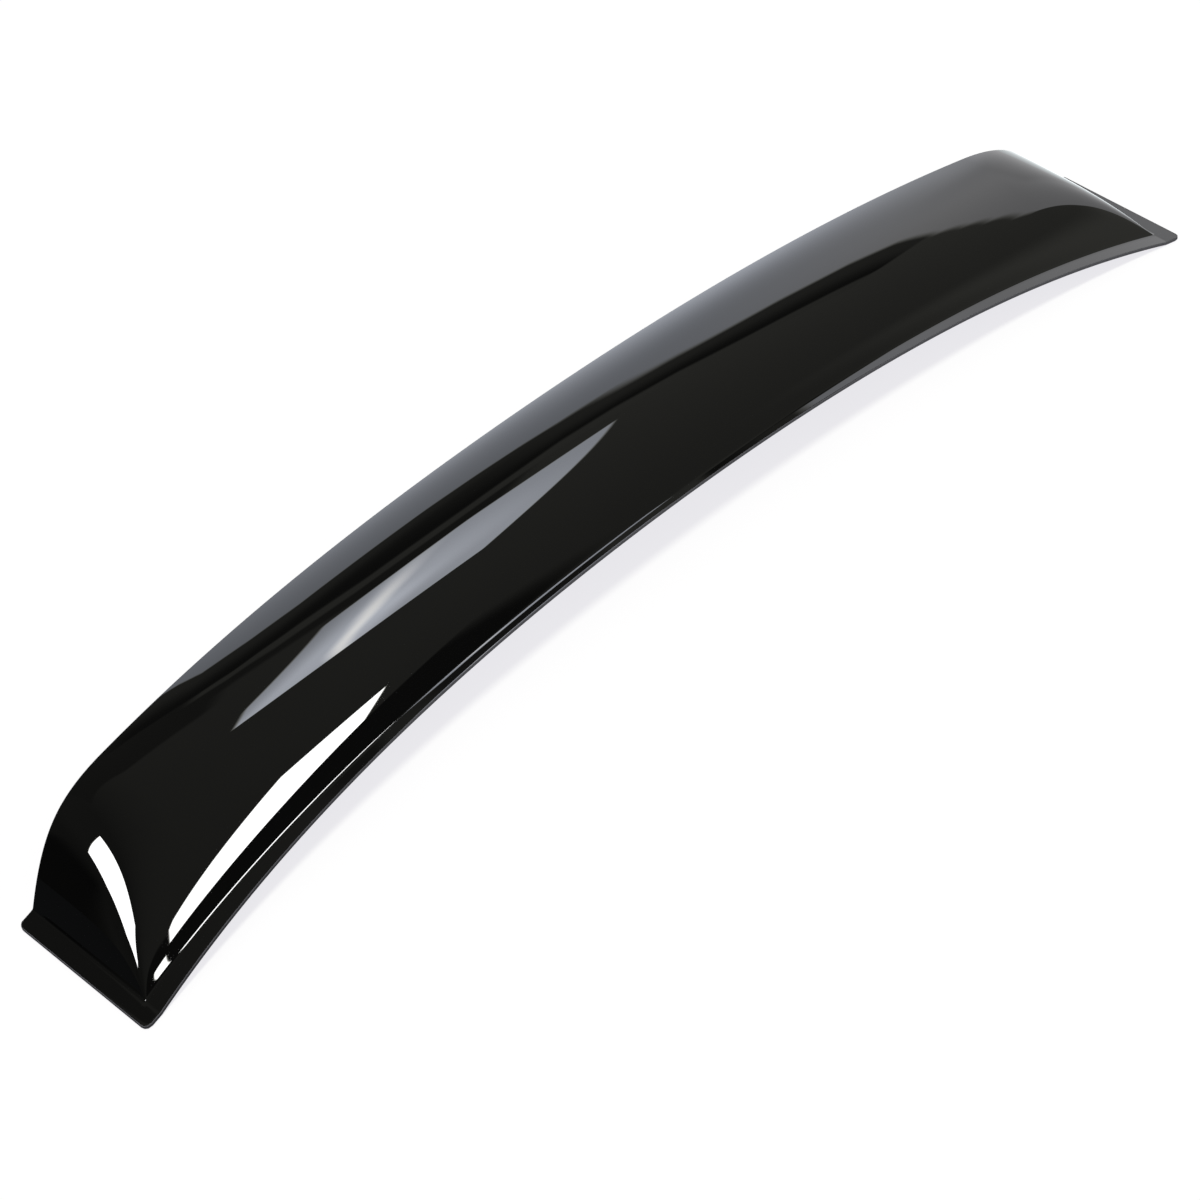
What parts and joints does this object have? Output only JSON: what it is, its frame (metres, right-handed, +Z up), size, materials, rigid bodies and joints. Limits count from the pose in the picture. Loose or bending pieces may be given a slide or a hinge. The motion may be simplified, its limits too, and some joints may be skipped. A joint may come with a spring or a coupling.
{
  "type": "rear window roof spoiler visor",
  "caption": "Long domed roof visor for a car's rear window, one formed acrylic sheet with a flat bonding flange.",
  "frame": {"origin": "middle of the part's box on the ground plane, with both end flanges lying flat on that plane", "axes": "+X along the visor to its right end seen from the front, +Y to its free rear edge, +Z up"},
  "size_m": [1.1746, 0.2172, 0.0815],
  "materials": {
    "smoked_acrylic": "polished dark smoke acrylic, near black"
  },
  "bodies": {
    "root": {"visor_shell": "smoked_acrylic"}
  },
  "joints": []
}
